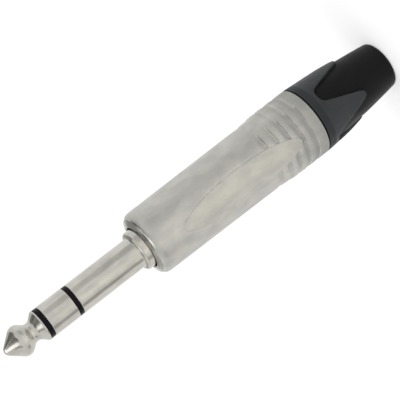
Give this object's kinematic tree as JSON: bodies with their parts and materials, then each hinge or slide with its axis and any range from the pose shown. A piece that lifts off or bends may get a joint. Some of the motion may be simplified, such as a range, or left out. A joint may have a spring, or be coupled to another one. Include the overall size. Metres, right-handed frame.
{
  "type": "stereo jack plug",
  "caption": "Straight stereo jack plug with a pointed tip, insulated ring and sleeve, a ribbed metal shell and a pronged screw-on boot for the cable.",
  "frame": {"origin": "centre of the boot's end face, on the plug's axis", "axes": "+Z along the axis towards the tip; one oval field of the shell faces -Y"},
  "size_m": [0.0144, 0.0146, 0.0926],
  "materials": {
    "shell_metal": "satin nickel plate on a die-cast shell",
    "contact_metal": "nickel plate on turned brass",
    "insulator_plastic": "dark moulded plastic",
    "insert_plastic": "dark glass-filled plastic",
    "terminal_metal": "tinned brass strip",
    "chuck_plastic": "natural moulded plastic",
    "bushing_plastic": "dark grey moulded plastic, fine satin",
    "gland_rubber": "black soft moulding"
  },
  "bodies": {
    "housing": {"shell": "shell_metal", "tip_contact": "contact_metal", "tip_insulator": "insulator_plastic", "ring_contact": "contact_metal", "ring_insulator": "insulator_plastic", "sleeve_contact": "contact_metal", "insert_body": "insert_plastic", "sleeve_terminal": "terminal_metal", "ring_terminal": "terminal_metal", "rear_washer": "insulator_plastic", "tip_terminal": "terminal_metal"},
    "collet": {"chuck": "chuck_plastic"},
    "boot": {"bushing": "bushing_plastic", "gland": "gland_rubber"}
  },
  "joints": [
    {"name": "chuck_travel", "type": "slide", "parent": "housing", "child": "collet", "axis": [0, 0, -1], "range_m": [0, 0.006]},
    {"name": "boot_turn", "type": "hinge", "parent": "collet", "child": "boot", "pos_m": [0, 0, 0], "axis": [0, 0, -1], "range_deg": [0, 2160]}
  ],
  "couplings": [
    {"joint": "boot_turn", "follows": "chuck_travel", "rad_per_m": 6283.2}
  ]
}
